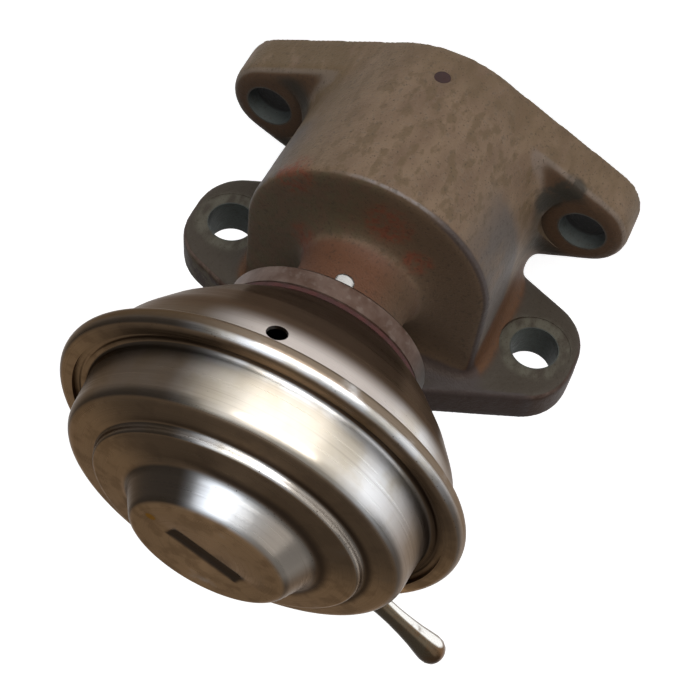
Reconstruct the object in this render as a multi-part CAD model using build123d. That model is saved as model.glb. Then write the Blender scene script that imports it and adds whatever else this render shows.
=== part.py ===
from build123d import *
from math import cos, radians, sin
import os

os.makedirs("parts", exist_ok=True)

# Vacuum-operated exhaust gas recirculation valve, in millimetres.
# Z is the valve axis, from the base flange up to the vacuum dome.
# The origin is the centre of the base flange's mating face. The side flange faces +Y.
# An r in a name is a radius, and a z is a height above the base face.

# Driving dimensions: the two bolted flanges
bolt_spacing = 60.0
bolt_hole_r = 4.25
base_thickness = 9.0
side_face_y = 25.0
side_thickness = 8.0
side_centre_z = 23.4

# Driving dimensions: the casting
body_r = 22.0
boss_z = 35.0
neck_r = 10.0
neck_z = 49.0

# Driving dimensions: the gas path
base_port_r = 12.5
side_port_r = 8.5
seat_bore_r = 8.5
chamber_r = 16.0

# Driving dimensions: the vacuum actuator
sheet = 0.8
ring_r = 17.4
ring_thickness = 4.0
gasket_thickness = 0.7
rim_r = 34.2
bowl_depth = 19.0
rim_depth = 3.3
stem_r = 3.0

# Fits
running_clearance = 0.1
rim_clearance = 0.2

bolt_x = bolt_spacing / 2
ring_top_z = neck_z + ring_thickness
shell_z = ring_top_z + gasket_thickness
rim_back_z = shell_z + bowl_depth
rim_top_z = rim_back_z + rim_depth


# ---------- shared shapes ----------

def turned(outline):
    # A solid of revolution about the valve axis, from its (radius, height) corners
    return revolve(make_face(Plane.XZ * Polyline(outline, close=True)), Axis.Z)


def tube(outer_r, inner_r, bottom_z, top_z):
    return turned([(inner_r, bottom_z), (outer_r, bottom_z), (outer_r, top_z), (inner_r, top_z)])


def turned_strip(lower_line, thickness):
    # A strip of even thickness on the left of a (radius, height) line, turned about the valve axis
    section = offset(Wire(lower_line.edges()), amount=thickness, side=Side.LEFT, closed=True)
    return revolve(make_face(Plane.XZ * section), Axis.Z)


def pressed(outer_line):
    return turned_strip(outer_line, sheet)


def bolt_pair():
    # The bolt holes of a flange, in the flange's own plane
    return [Pos(side * bolt_x, 0) * Circle(bolt_hole_r) for side in (-1, 1)]


def flange_outline(middle_r, lobe_r, lobe_x, lobe_rise=0.0):
    # A round middle drawn out to a lobe at each end, which a rise stretches across the flange
    places = [(side * lobe_x, rise) for side in (-1, 1) for rise in (-lobe_rise, lobe_rise)]
    return make_hull((Circle(middle_r) + [Pos(place) * Circle(lobe_r) for place in places]).edges())


def inside_fillet(corner_x, corner_y, r, y_side):
    # What a fillet adds in an inside corner whose sides run off along +x and the given y side
    square = Pos(corner_x + r / 2, corner_y + y_side * r / 2) * Rectangle(r, r)
    return square - Pos(corner_x + r, corner_y + y_side * r) * Circle(r)


# ---------- casting ----------

base_arch_y = 1.0
boss_arch_y = -2.3
boss_edge_r = 1.2
base_edge_r = 2.2
cast_edge_r = 1.0
face_edge_r = 1.2
neck_foot_r = 1.5
flank_foot_r = 2.0
base_middle_r = 21.0
base_lobe_r = 8.6
base_lobe_inset = 0.7
base_lobe_x = bolt_x - base_lobe_inset
side_middle_r = 22.0
side_lobe_r = 9.4
side_lobe_rise = 1.9
side_lobe_inset = 1.5
side_lobe_x = bolt_x - side_lobe_inset
spot_face_r = 6.5
spot_face_depth = 0.4
bolt_head_clearance_r = 8.8
seat_ring_width = 3.5
seat_ring_height = 5.0
seat_ring_z = base_thickness
seat_ring_r = seat_bore_r + seat_ring_width
seat_z = seat_ring_z + seat_ring_height
roof_thickness = 2.8
chamber_top_z = boss_z - roof_thickness
guide_nose = 3.2
guide_r = 2 * stem_r
guide_bottom_z = chamber_top_z - guide_nose
seal_depth = 2.0
seal_step = 0.5
seal_r = guide_r + seal_step
guide_top_z = neck_z - seal_depth
spigot_wall = 1.5
spigot_r = seal_r + spigot_wall
plug_r = 1.4
plug_z = 7.0
plug_hole_depth = 3.5
plug_recess = 0.4
side_back_y = side_face_y - side_thickness
plug_mouth_y = base_arch_y + (boss_arch_y - base_arch_y) * plug_z / boss_z - body_r
side_plane = Plane(origin=(0, side_face_y, side_centre_z), x_dir=(1, 0, 0), z_dir=(0, -1, 0))
plug_plane = Plane(origin=(0, plug_mouth_y, plug_z), x_dir=(1, 0, 0), z_dir=(0, 1, 0))


def arch_outline(arch_y):
    # A half-round front about arch_y, joined by flat flanks to the side flange
    flank_length = side_back_y - arch_y
    flanks = Pos(0, arch_y + flank_length / 2) * Rectangle(2 * body_r, flank_length)
    front_half = Pos(0, arch_y - body_r / 2) * Rectangle(2 * body_r, body_r)
    return flanks + front_half.intersect(Pos(0, arch_y) * Circle(body_r))


def arched_body():
    # The front leans outwards from the base to the boss, whose edge is rounded but for its back
    block = loft([arch_outline(base_arch_y), Pos(0, 0, boss_z) * arch_outline(boss_arch_y)], ruled=True)
    block = fillet(block.edges().group_by(Axis.Z)[-1].sort_by(Axis.Y)[:-1], boss_edge_r)
    head_clearance = Cylinder(bolt_head_clearance_r, boss_z)
    for side in (-1, 1):
        block -= Pos(side * bolt_x, 0, boss_z / 2 + base_thickness) * head_clearance
    return block


def side_outline(inset=0.0):
    outline = flange_outline(side_middle_r - inset, side_lobe_r - inset, side_lobe_x, side_lobe_rise)
    return side_plane * outline


def flank_feet():
    # The fillets where the flanks meet the side flange, as far as its near face is flat
    foot = extrude(inside_fillet(body_r, side_back_y, flank_foot_r, -1), amount=boss_z - boss_edge_r)
    reach = extrude(side_outline(cast_edge_r), amount=side_thickness + flank_foot_r)
    return (foot + mirror(foot, Plane.YZ)).intersect(reach)


def neck():
    column = Pos(0, 0, (boss_z + neck_z) / 2) * Cylinder(neck_r, neck_z - boss_z)
    return column + revolve(Plane.XZ * inside_fillet(neck_r, boss_z, neck_foot_r, 1), Axis.Z)


def base_flange():
    plate = extrude(flange_outline(base_middle_r, base_lobe_r, base_lobe_x), amount=base_thickness)
    return fillet(plate.edges().group_by(Axis.Z)[-1], base_edge_r)


def side_flange():
    plate = extrude(side_outline(), amount=side_thickness)
    plate = fillet(plate.edges().group_by(Axis.Y)[0], cast_edge_r)
    return fillet(plate.edges().group_by(Axis.Y)[-1], face_edge_r)


def valve_body():
    spigot = Pos(0, 0, (neck_z + ring_top_z) / 2) * Cylinder(spigot_r, ring_top_z - neck_z)
    body = arched_body() + flank_feet() + base_flange() + side_flange() + neck() + spigot

    gas_path = tube(base_port_r, 0, 0, seat_ring_z) + tube(seat_ring_r, 0, seat_ring_z, seat_z)
    gas_path += tube(chamber_r, 0, seat_z, chamber_top_z)
    gas_path += extrude(side_plane * Circle(side_port_r), amount=side_face_y)
    stem_way = tube(guide_r, 0, chamber_top_z, guide_top_z) + tube(seal_r, 0, guide_top_z, ring_top_z)
    body -= gas_path + stem_way

    body -= extrude(Sketch() + bolt_pair(), amount=base_thickness)
    body -= extrude(side_plane * (Sketch() + bolt_pair()), amount=side_thickness)
    spot_face = Cylinder(spot_face_r, 2 * spot_face_depth)
    for side in (-1, 1):
        body -= side_plane * Pos(side * bolt_x, 0, side_thickness) * spot_face
    body -= extrude(plug_plane * Circle(plug_r), amount=plug_hole_depth, both=True)
    return body


def body_plug():
    # Seated at the bottom of its hole, with its face just below the casting's surface
    return extrude(plug_plane.offset(plug_recess) * Circle(plug_r), amount=plug_hole_depth - plug_recess)


# ---------- gas side: seat, valve, stem and its guide ----------

seat_chamfer = 0.8
disc_overlap = 1.7
disc_r = seat_bore_r + disc_overlap
nose_clearance = 0.5
disc_nose_r = seat_bore_r - nose_clearance
nose_depth = 2.4
disc_nose_z = seat_z - nose_depth
disc_thickness = 1.6
disc_edge_z = seat_z + disc_thickness
hub_wall = 2.0
hub_step = 1.2
disc_hub_r = stem_r + hub_wall
disc_hub_foot_z = disc_edge_z + hub_step
disc_hub_z = disc_hub_foot_z + hub_step
stem_step = 1.0
stem_end_r = stem_r - stem_step
stem_head_z = disc_nose_z - stem_step
thread_step = 0.8
thread_r = stem_r - thread_step
seal_rise = 1.5
seal_top_z = neck_z + seal_rise
seal_cup_clearance = 0.5
seal_cup_top_z = ring_top_z - seal_cup_clearance
seal_cup_bore_r = stem_r + seal_cup_clearance

# The clamped stack at the stem's upper end: plate, diaphragm, cup, washer and nut
plate_drop = 7.6
plate_z = rim_back_z - plate_drop
diaphragm_z = plate_z + sheet
diaphragm_thickness = rim_depth - 3 * sheet
cup_z = diaphragm_z + diaphragm_thickness
washer_z = cup_z + sheet
washer_thickness = 0.8
nut_z = washer_z + washer_thickness
nut_height = 3.2
thread_end = 1.1
stem_top_z = nut_z + nut_height + thread_end


def seat_ring():
    return turned([
        (seat_bore_r, seat_ring_z), (seat_ring_r, seat_ring_z), (seat_ring_r, seat_z),
        (seat_bore_r + seat_chamfer, seat_z), (seat_bore_r, seat_z - seat_chamfer)])


def valve_disc():
    # A flat-seated poppet with a tapered nose below and a hub above, riveted on the stem's end
    return turned([
        (stem_end_r, disc_nose_z), (disc_hub_r, disc_nose_z), (disc_nose_r, seat_z), (disc_r, seat_z),
        (disc_r, disc_edge_z), (disc_hub_r, disc_hub_foot_z), (disc_hub_r, disc_hub_z),
        (stem_end_r, disc_hub_z)])


def valve_stem():
    return turned([
        (0, stem_head_z), (stem_r, stem_head_z), (stem_r, disc_nose_z), (stem_end_r, disc_nose_z),
        (stem_end_r, disc_hub_z), (stem_r, disc_hub_z), (stem_r, plate_z), (thread_r, plate_z),
        (thread_r, stem_top_z), (0, stem_top_z)])


def stem_guide():
    return tube(guide_r, stem_r + running_clearance, guide_bottom_z, guide_top_z)


def stem_seal():
    return tube(seal_r, stem_r + running_clearance, guide_top_z, seal_top_z)


def seal_cup():
    return tube(seal_r, seal_cup_bore_r, seal_top_z, seal_cup_top_z)


# ---------- collar between casting and actuator ----------

gasket_overhang = 0.2
gasket_r = ring_r + gasket_overhang
ring_edge = 0.5
rivet_inset = 2.2
rivet_circle_r = ring_r - rivet_inset
rivet_shank_r = 1.2
rivet_head_r = 1.6
rivet_head_height = 2.1
rivet_head_edge_r = 0.8
rivet_count = 3
rivet_first_angle = -95


def at_rivets():
    return [Rot(0, 0, rivet_first_angle + turn * 360 / rivet_count) * Pos(rivet_circle_r, 0)
            for turn in range(rivet_count)]


def rivet_holes():
    height = shell_z + sheet - neck_z
    hole = Pos(0, 0, neck_z + height / 2) * Cylinder(rivet_shank_r, height)
    return [place * hole for place in at_rivets()]


def mounting_ring():
    ring = tube(ring_r, spigot_r, neck_z, ring_top_z)
    outer_edges = ring.edges().filter_by(GeomType.CIRCLE).sort_by(SortBy.RADIUS)[-2:]
    return chamfer(outer_edges, ring_edge) - rivet_holes()


def ring_gasket():
    return tube(gasket_r, seal_r, ring_top_z, shell_z) - rivet_holes()


def rivet_head():
    # A plain head with a rounded end, standing on a face at height zero
    head = Pos(0, 0, rivet_head_height / 2) * Cylinder(rivet_head_r, rivet_head_height)
    return fillet(head.edges().group_by(Axis.Z)[-1], rivet_head_edge_r)


def ring_rivets():
    top_z = shell_z + sheet
    shank = Pos(0, 0, (neck_z + top_z) / 2) * Cylinder(rivet_shank_r, top_z - neck_z)
    lower_head = Pos(0, 0, neck_z) * mirror(rivet_head(), Plane.XY)
    upper_head = Pos(0, 0, top_z) * rivet_head()
    rivet = shank + lower_head + upper_head
    return Compound([place * rivet for place in at_rivets()])


# ---------- actuator shells ----------

bowl_top_r = rim_r - 3 * sheet
bowl_bends = [(0.282, 0.182), (0.585, 0.433), (0.810, 0.674)]  # as shares of its flare and depth
bowl_bend_r = 10.0
floor_edge_r = 1.2
rim_edge_r = 1.6
flange_r = rim_r - rim_edge_r - rim_clearance
lip_width = 2.8
rim_lip_r = rim_r - lip_width
rim_width = 5.7
dome_flange_z = rim_top_z - sheet
dome_r = rim_r - rim_width
dome_wall_height = 8.1
dome_shoulder_z = rim_top_z + dome_wall_height
dome_shelf = 6.2
shelf_rise = 0.6
tier_r = dome_r - dome_shelf
tier_foot_z = dome_shoulder_z + shelf_rise
tier_height = 1.55
tier_top_z = tier_foot_z + tier_height
tier_shelf = 6.4
cap_foot_r = tier_r - tier_shelf
cap_foot_z = tier_top_z + shelf_rise
cap_taper = 3.1
cap_r = cap_foot_r - cap_taper
cap_height = 5.0
dome_top_z = cap_foot_z + cap_height
shoulder_r = 1.8
inner_bend_r = 0.5
tier_bend_r = 0.8
cap_edge_r = 2.0
vent_r = 1.6
vent_drop = 2.6
vent_z = rim_back_z - vent_drop
spring_margin = 2.35
spring_mean_r = cap_r - spring_margin
spring_lip_gap = 2.6
spring_lip_r = spring_mean_r - spring_lip_gap
slot_clearance = 0.6
slot_length = 2 * (spring_lip_r - sheet - slot_clearance)
slot_width = 2.6
slot_angle = 150
nipple_angle = 138.5
nipple_rise = 2.5
nipple_z = rim_top_z + nipple_rise
nipple_tube_r = 2.0
nipple_bore_r = 1.1
nipple_bulge_r = 2.5
nipple_foot = 3.0
nipple_tube_start = dome_r + nipple_foot
nipple_reach = 13.6
nipple_tip = rim_r + nipple_reach
tip_chamfer = 1.0
nipple_bulge_length = 2.5
nipple_bulge_end = nipple_tip - tip_chamfer
nipple_bulge_start = nipple_bulge_end - nipple_bulge_length
nipple_flare = 2.0
nipple_tube_end = nipple_bulge_start - nipple_flare
clinch_r = 2.6
clinch_length = 1.2
nipple_plane = Plane(
    origin=(0, 0, nipple_z),
    x_dir=(0, 0, 1),
    z_dir=(cos(radians(nipple_angle)), sin(radians(nipple_angle)), 0))


def lower_shell():
    # A bowl whose rim is rolled outwards and back over the dome's flange
    flare = bowl_top_r - gasket_r
    bends = [(gasket_r + out * flare, shell_z + up * bowl_depth) for out, up in bowl_bends]
    profile = FilletPolyline(
        (seal_r, shell_z), (gasket_r, shell_z), *bends, (bowl_top_r, rim_back_z),
        (rim_r, rim_back_z), (rim_r, rim_top_z), (rim_lip_r, rim_top_z),
        radius=[floor_edge_r] + [bowl_bend_r] * len(bends) + [rim_edge_r] * 3)
    shell = pressed(profile)
    vent = Plane(origin=(0, 0, vent_z), x_dir=(1, 0, 0), z_dir=(0, -1, 0)) * Circle(vent_r)
    return shell - extrude(vent, amount=rim_r) - rivet_holes()


def cap_slot(margin, top_z):
    # The slot pressed into the cap, or with a margin the bulge that it makes underneath
    slot = SlotOverall(slot_length + 2 * margin, slot_width + 2 * margin)
    return extrude(Pos(0, 0, top_z - sheet) * Rot(0, 0, slot_angle) * slot, amount=sheet)


def upper_shell():
    # The dome steps in twice and ends in a narrow cap
    profile = FilletPolyline(
        (flange_r, dome_flange_z), (dome_r, dome_flange_z), (dome_r, dome_shoulder_z),
        (tier_r, tier_foot_z), (tier_r, tier_top_z), (cap_foot_r, cap_foot_z),
        (cap_r, dome_top_z), (0, dome_top_z),
        radius=[inner_bend_r, shoulder_r, inner_bend_r, tier_bend_r, inner_bend_r, cap_edge_r])
    shell = pressed(profile) + cap_slot(sheet, dome_top_z - sheet) - cap_slot(0, dome_top_z)
    return shell - extrude(nipple_plane * Circle(nipple_tube_r), amount=rim_r)


def vacuum_nipple():
    # A hose stub clinched through the dome's wall, with a bulge at its tip that holds the hose
    wall_r = dome_r - sheet
    outline = [
        (nipple_bore_r, wall_r - clinch_length), (clinch_r, wall_r - clinch_length), (clinch_r, wall_r),
        (nipple_tube_r, wall_r), (nipple_tube_r, dome_r - sheet / 2), (clinch_r, dome_r - sheet / 2),
        (nipple_tube_r, nipple_tube_start), (nipple_tube_r, nipple_tube_end),
        (nipple_bulge_r, nipple_bulge_start), (nipple_bulge_r, nipple_bulge_end),
        (nipple_tube_r, nipple_tip), (nipple_bore_r, nipple_tip)]
    stub = revolve(make_face(Plane.XZ * Polyline(outline, close=True)), Axis.Z)
    return Location(nipple_plane) * stub - upper_shell()


# ---------- diaphragm stack on the stem, and its spring ----------

rim_floor_z = rim_back_z + sheet
plate_r = 18.0
roll_bend_r = 2.5
roll_foot_r = plate_r + roll_bend_r
roll_margin = 1.3
roll_top_r = dome_r - roll_margin
washer_r = 5.0
nut_across_flats = 7.0
cup_overhang = 1.5
cup_r = plate_r + cup_overhang
cup_depth = 7.0
cup_wall_z = cup_z + cup_depth
cup_edge_r = 2.0
wire_r = 0.9
spring_turns = 5.5
spring_seat_margin = 1.25
spring_seat_r = cap_r - spring_seat_margin
spring_seat_thickness = 1.0
spring_lip_depth = 1.5
coil_gap = 0.02
cap_underside_z = dome_top_z - sheet
spring_seat_z = cap_underside_z - spring_seat_thickness


def diaphragm():
    # Clamped in the crimped rim, rolled down and gripped in the middle between plate and cup
    lower_line = FilletPolyline(
        (thread_r, diaphragm_z), (roll_foot_r, diaphragm_z),
        (roll_top_r, rim_floor_z), (flange_r, rim_floor_z),
        radius=roll_bend_r)
    return turned_strip(lower_line, diaphragm_thickness)


def diaphragm_plate():
    return tube(plate_r, thread_r, plate_z, diaphragm_z)


def spring_cup():
    lower_line = FilletPolyline((thread_r, cup_z), (cup_r, cup_z), (cup_r, cup_wall_z), radius=cup_edge_r)
    return pressed(lower_line)


def stem_washer():
    return tube(washer_r, thread_r, washer_z, nut_z)


def stem_nut():
    hexagon = RegularPolygon(nut_across_flats / 2, 6, major_radius=False) - Circle(thread_r)
    return extrude(Pos(0, 0, nut_z) * hexagon, amount=nut_height)


def spring_seat():
    # A ring under the cap whose inner lip centres the spring
    lip_z = spring_seat_z - spring_lip_depth
    return turned([
        (spring_lip_r, lip_z), (spring_lip_r + sheet, lip_z), (spring_lip_r + sheet, spring_seat_z),
        (spring_seat_r, spring_seat_z), (spring_seat_r, cap_underside_z), (spring_lip_r, cap_underside_z)])


def return_spring():
    bottom_z = washer_z + wire_r + coil_gap
    height = spring_seat_z - wire_r - coil_gap - bottom_z
    coil = Pos(0, 0, bottom_z) * Helix(pitch=height / spring_turns, height=height, radius=spring_mean_r)
    start = Plane(origin=coil @ 0, z_dir=coil % 0)
    return sweep(start * Circle(wire_r), path=coil)


nodes = {
    "valve_body": valve_body,
    "body_plug": body_plug,
    "seat_ring": seat_ring,
    "valve_disc": valve_disc,
    "valve_stem": valve_stem,
    "stem_guide": stem_guide,
    "stem_seal": stem_seal,
    "seal_cup": seal_cup,
    "mounting_ring": mounting_ring,
    "ring_gasket": ring_gasket,
    "ring_rivets": ring_rivets,
    "lower_shell": lower_shell,
    "upper_shell": upper_shell,
    "vacuum_nipple": vacuum_nipple,
    "diaphragm": diaphragm,
    "diaphragm_plate": diaphragm_plate,
    "spring_cup": spring_cup,
    "stem_washer": stem_washer,
    "stem_nut": stem_nut,
    "spring_seat": spring_seat,
    "return_spring": return_spring,
}

for node, make in nodes.items():
    export_step(make(), f"parts/{node}.step")
    print("wrote", node)
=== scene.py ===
import bmesh
import bpy
import math
import numpy as np
from mathutils import Matrix, Vector, noise


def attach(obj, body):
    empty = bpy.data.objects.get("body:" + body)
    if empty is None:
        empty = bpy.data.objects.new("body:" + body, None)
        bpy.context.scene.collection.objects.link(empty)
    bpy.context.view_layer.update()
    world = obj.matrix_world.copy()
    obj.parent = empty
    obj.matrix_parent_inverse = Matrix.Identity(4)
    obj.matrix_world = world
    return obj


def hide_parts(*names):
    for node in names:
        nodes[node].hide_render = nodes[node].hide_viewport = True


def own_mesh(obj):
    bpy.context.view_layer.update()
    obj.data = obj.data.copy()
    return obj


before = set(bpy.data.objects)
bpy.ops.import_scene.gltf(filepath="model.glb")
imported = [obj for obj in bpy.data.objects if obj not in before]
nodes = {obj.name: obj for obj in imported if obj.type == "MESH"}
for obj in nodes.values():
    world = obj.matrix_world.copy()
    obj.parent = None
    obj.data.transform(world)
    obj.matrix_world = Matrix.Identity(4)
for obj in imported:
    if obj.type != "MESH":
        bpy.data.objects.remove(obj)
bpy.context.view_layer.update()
print("frame loaded")


cameraSettings = {
    "place": (-0.043171, -0.204121, 0.173967),
    # degrees: round the valve from its front, above the floor, and about the line of sight
    "bearing": -10.7955,
    "height": 30.9591,
    "roll": -151.3121,
    "lens": 77.143,
    "sensor": 36.0,
    "clipStart": 0.01,
}


def makeCamera():
    s = cameraSettings
    data = bpy.data.cameras.new("camera")
    data.lens = s["lens"]
    data.sensor_width = s["sensor"]
    data.clip_start = s["clipStart"]
    camera = bpy.data.objects.new("camera", data)
    bearing = Matrix.Rotation(math.radians(s["bearing"]), 4, "Z")
    tilt = Matrix.Rotation(math.radians(90 - s["height"]), 4, "X")
    roll = Matrix.Rotation(math.radians(s["roll"]), 4, "Z")
    camera.matrix_world = Matrix.Translation(s["place"]) @ bearing @ tilt @ roll
    bpy.context.scene.collection.objects.link(camera)
    bpy.context.scene.camera = camera


def direction(bearing, height=0.0):
    # the way out at a bearing round the valve's axis from +X, and at a height above the floor, in degrees
    flat = math.cos(math.radians(height))
    return Vector((
        flat * math.cos(math.radians(bearing)), flat * math.sin(math.radians(bearing)),
        math.sin(math.radians(height))))


lightSettings = {
    "aim": Vector((0, 0, 0.045)),
    "world": (0.27, 0.27, 0.27),
    # how bright the surroundings look near the horizon, and the heights between which that fades
    "horizon": (0.60, 0.60, 0.60),
    "horizonFade": (12, 3),
    # an unseen softbox lights the valve, but the metal doesn't mirror it
    "softboxes": {
        "key": {"bearing": 256, "height": 13, "distance": 1.0, "wide": 0.9, "tall": 0.40,
                "power": 7.5, "colour": (1.0, 0.985, 0.96)},
        "window": {"bearing": 285, "height": 36, "distance": 1.0, "wide": 0.70, "tall": 0.90,
                   "power": 2.1, "colour": (0.92, 0.95, 1.0)},
        "sideFill": {"bearing": 200, "height": 25, "distance": 1.1, "wide": 0.9, "tall": 0.6,
                     "power": 1.1, "colour": (1.0, 0.98, 0.96)},
        "backFill": {"bearing": 125, "height": 12, "distance": 1.2, "wide": 0.8, "tall": 0.4,
                     "power": 3.3, "colour": (1.0, 0.99, 0.98), "unseen": True},
    },
}


def makeWorld():
    world = bpy.data.worlds.new("studio")
    bpy.context.scene.world = world
    world.use_nodes = True
    tree = world.node_tree
    towardsSky = addNode(tree, "ShaderNodeTexCoord").outputs["Generated"]
    height = addNode(tree, "ShaderNodeSeparateXYZ", {0: towardsSky}).outputs["Z"]
    top, bottom = (math.sin(math.radians(angle)) for angle in lightSettings["horizonFade"])
    pale = both(tree, seenRays(tree), between(tree, height, top, bottom))
    colour = mixColour(tree, pale, lightSettings["world"], lightSettings["horizon"])
    tree.links.new(colour, tree.nodes["Background"].inputs["Color"])


def makeLights():
    for name, s in lightSettings["softboxes"].items():
        data = bpy.data.lights.new(name, "AREA")
        data.shape = "RECTANGLE"
        data.size = s["wide"]
        data.size_y = s["tall"]
        data.energy = s["power"]
        data.color = s["colour"]
        back = direction(s["bearing"], s["height"])
        softbox = bpy.data.objects.new(name, data)
        softbox.location = lightSettings["aim"] + back * s["distance"]
        softbox.rotation_mode = "QUATERNION"
        softbox.rotation_quaternion = (-back).to_track_quat("-Z", "Y")
        softbox.visible_glossy = not s.get("unseen", False)
        bpy.context.scene.collection.objects.link(softbox)


def addNode(tree, kind, inputs=None, **settings):
    made = tree.nodes.new(kind)
    for name, value in settings.items():
        setattr(made, name, value)
    for name, value in (inputs or {}).items():
        socket = made.inputs[name]
        if isinstance(value, bpy.types.NodeSocket):
            tree.links.new(value, socket)
        else:
            socket.default_value = value
    return made


def calculate(tree, operation, first, second=0.0):
    return addNode(tree, "ShaderNodeMath", {0: first, 1: second}, operation=operation).outputs[0]


def vectorMath(tree, operation, first, second=(0, 0, 0)):
    made = addNode(tree, "ShaderNodeVectorMath", {0: first, 1: second}, operation=operation)
    numberOnly = operation in ("DOT_PRODUCT", "DISTANCE")
    return made.outputs["Value" if numberOnly else "Vector"]


def between(tree, value, low, high):
    # 0 at low, 1 at high and beyond, smooth in between; low may be the larger of the two
    if low > high:
        return calculate(tree, "SUBTRACT", 1.0, between(tree, value, high, low))
    return addNode(
        tree, "ShaderNodeMapRange", {"Value": value, "From Min": low, "From Max": high},
        interpolation_type="SMOOTHSTEP").outputs["Result"]


def both(tree, *shares):
    made = shares[0]
    for share in shares[1:]:
        made = calculate(tree, "MULTIPLY", made, share)
    return made


def most(tree, *shares):
    made = shares[0]
    for share in shares[1:]:
        made = calculate(tree, "MAXIMUM", made, share)
    return made


def mixColour(tree, share, first, second):
    made = addNode(tree, "ShaderNodeMix", {"Factor": share}, data_type="RGBA")
    for socket, value in ((made.inputs[6], first), (made.inputs[7], second)):
        if isinstance(value, bpy.types.NodeSocket):
            tree.links.new(value, socket)
        else:
            socket.default_value = (*value, 1)
    return made.outputs[2]


def mixNumber(tree, share, first, second):
    return addNode(tree, "ShaderNodeMix", {"Factor": share, 2: first, 3: second}).outputs[0]


def seenRays(tree):
    # 1 for what the camera sees, straight or in a reflection, and 0 for light on surfaces
    rays = addNode(tree, "ShaderNodeLightPath").outputs
    return most(tree, rays["Is Camera Ray"], rays["Is Glossy Ray"], rays["Is Transmission Ray"])


class Paint:
    # a new material, built up in coats; slopes say where each coat lies
    def __init__(self, name):
        self.material = bpy.data.materials.new(name)
        self.material.use_nodes = True
        self.tree = self.material.node_tree
        self.shader = self.tree.nodes["Principled BSDF"]
        where = addNode(self.tree, "ShaderNodeTexCoord")
        self.place = addNode(
            self.tree, "ShaderNodeVectorMath", {0: where.outputs["Object"], 3: 1000.0},
            operation="SCALE").outputs[0]      # millimetres
        self.facing = where.outputs["Normal"]
        self.flat = vectorMath(self.tree, "MULTIPLY", self.place, (1, 1, 0))
        x, y, z = addNode(self.tree, "ShaderNodeSeparateXYZ", {0: self.place}).outputs
        turnX, turnY, turnZ = addNode(self.tree, "ShaderNodeSeparateXYZ", {0: self.facing}).outputs
        # what a slope may go by; aside and lean are the same on both sides, radius is from the valve's axis
        self.by = {
            "x": x, "y": y, "z": z,
            "turnX": turnX, "turnY": turnY, "turnZ": turnZ,
            "asideX": calculate(self.tree, "ABSOLUTE", x),
            "leanX": calculate(self.tree, "ABSOLUTE", turnX),
            "leanY": calculate(self.tree, "ABSOLUTE", turnY),
            "radius": vectorMath(self.tree, "DISTANCE", self.flat),
        }

    def where(self, *slopes):
        # a slope is what it goes by, where it is 0 and where it is 1,
        # or a bearing with the angles away from it where it is 0 and where it is 1
        shares = []
        for kind, *limits in slopes:
            if kind == "bearing":
                shares.append(self.sector(*limits))
            else:
                shares.append(between(self.tree, self.by[kind], *limits))
        return both(self.tree, *shares)

    def sector(self, bearing, outer, full):
        outwards = vectorMath(self.tree, "NORMALIZE", self.flat)
        towards = vectorMath(self.tree, "DOT_PRODUCT", outwards, direction(bearing))
        return between(self.tree, towards, math.cos(math.radians(outer)), math.cos(math.radians(full)))

    def strongest(self, parts):
        # the most of several shares, each with its own slopes
        return most(self.tree, *(both(self.tree, self.where(*slopes), share) for share, *slopes in parts))

    def startWith(self, first, second, *slopes):
        # the ground that the coats lie on, one colour breaking into another
        self.colour = mixColour(self.tree, self.where(*slopes), first, second)

    def coat(self, colour, *shares):
        self.colour = mixColour(self.tree, both(self.tree, *shares), self.colour, colour)

    def coats(self, colours, coats):
        for name, share, *slopes in coats:
            self.coat(colours[name], self.where(*slopes), share)

    def cloud(self, size, detail=4.0, seed=0.0, stretch=(1, 1, 1)):
        # cloudy value round 0.5 whose blotches are about size millimetres across
        place = vectorMath(self.tree, "MULTIPLY", self.place, stretch)
        return addNode(
            self.tree, "ShaderNodeTexNoise",
            {"Vector": place, "Scale": 1 / size, "Detail": detail, "W": seed},
            noise_dimensions="4D").outputs["Fac"]

    def specks(self, size, seed):
        # 0 in the middle of each scattered speck, up to 1 between them
        return addNode(
            self.tree, "ShaderNodeTexVoronoi", {"Vector": self.place, "Scale": 1 / size, "W": seed},
            voronoi_dimensions="4D").outputs["Distance"]

    def turnedMarks(self, size, length, seed=0.0):
        # streaks size millimetres wide that run round the axis for length radians
        bearing = calculate(self.tree, "ARCTAN2", self.by["y"], self.by["x"])
        across = addNode(
            self.tree, "ShaderNodeCombineXYZ",
            {0: calculate(self.tree, "DIVIDE", self.by["radius"], size),
             1: calculate(self.tree, "DIVIDE", bearing, length),
             2: calculate(self.tree, "DIVIDE", self.by["z"], size)}).outputs[0]
        return addNode(
            self.tree, "ShaderNodeTexNoise",
            {"Vector": across, "Scale": 1.0, "Detail": 2.0, "W": seed},
            noise_dimensions="4D").outputs["Fac"]

    def nearRing(self, radius, height, reach):
        # 1 on a ring round the axis, 0 from reach millimetres away
        out = calculate(self.tree, "SUBTRACT", self.by["radius"], radius)
        up = calculate(self.tree, "SUBTRACT", self.by["z"], height)
        squares = calculate(
            self.tree, "ADD", calculate(self.tree, "MULTIPLY", out, out),
            calculate(self.tree, "MULTIPLY", up, up))
        return between(self.tree, calculate(self.tree, "SQRT", squares), reach, 0)

    def nearSpot(self, spot, reach):
        return between(self.tree, vectorMath(self.tree, "DISTANCE", self.place, spot), reach, 0)

    def awayFrom(self, start, across):
        # distance from a line through start; across has 0 for the axis that the line runs along
        out = vectorMath(self.tree, "SUBTRACT", self.place, start)
        return vectorMath(self.tree, "DISTANCE", vectorMath(self.tree, "MULTIPLY", out, across))

    def alongBearing(self, bearing):
        # how far a place lies from the axis along this bearing, either way
        along = vectorMath(self.tree, "DOT_PRODUCT", self.place, direction(bearing))
        return calculate(self.tree, "ABSOLUTE", along)

    def addBump(self, height, depth):
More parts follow.
